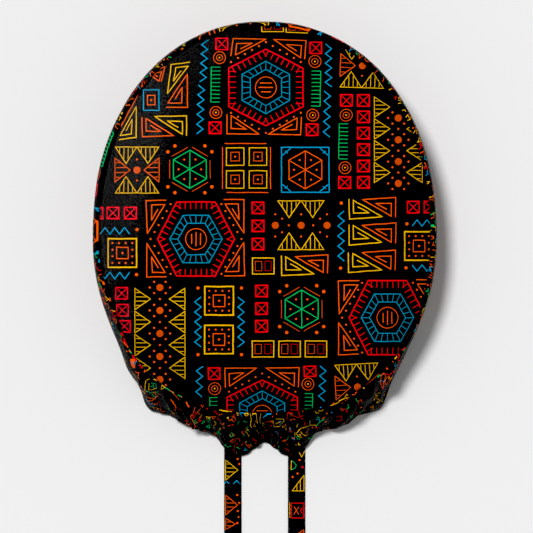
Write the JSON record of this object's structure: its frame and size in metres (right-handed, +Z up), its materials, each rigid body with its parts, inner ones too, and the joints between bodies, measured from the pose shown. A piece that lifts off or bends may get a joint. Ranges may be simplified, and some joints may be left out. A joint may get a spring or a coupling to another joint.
{
  "type": "scrub cap",
  "caption": "Soft cotton scrub cap with a domed oval crown, a deep side band, a gathered nape casing and flat ties at the back, resting on its rim.",
  "frame": {"origin": "middle of the whole footprint, ties included, on the surface that the cap rests on", "axes": "+Z up out of the crown, +Y towards the forehead, +X to the wearer's right; the ties run towards -Y"},
  "size_m": [0.2488, 0.4656, 0.0904],
  "materials": {
    "printed_cotton": "black woven cotton with a printed patchwork in red, orange, yellow, blue and green",
    "gathered_cotton": "the same printed cotton, drawn up in small gathers on elastic",
    "tie_cotton": "the same printed cotton, folded and edge-stitched into flat tape"
  },
  "bodies": {
    "root": {"crown_panel": "printed_cotton", "side_band": "printed_cotton", "nape_casing": "gathered_cotton", "tie_left": "tie_cotton", "tie_right": "tie_cotton"}
  },
  "joints": []
}
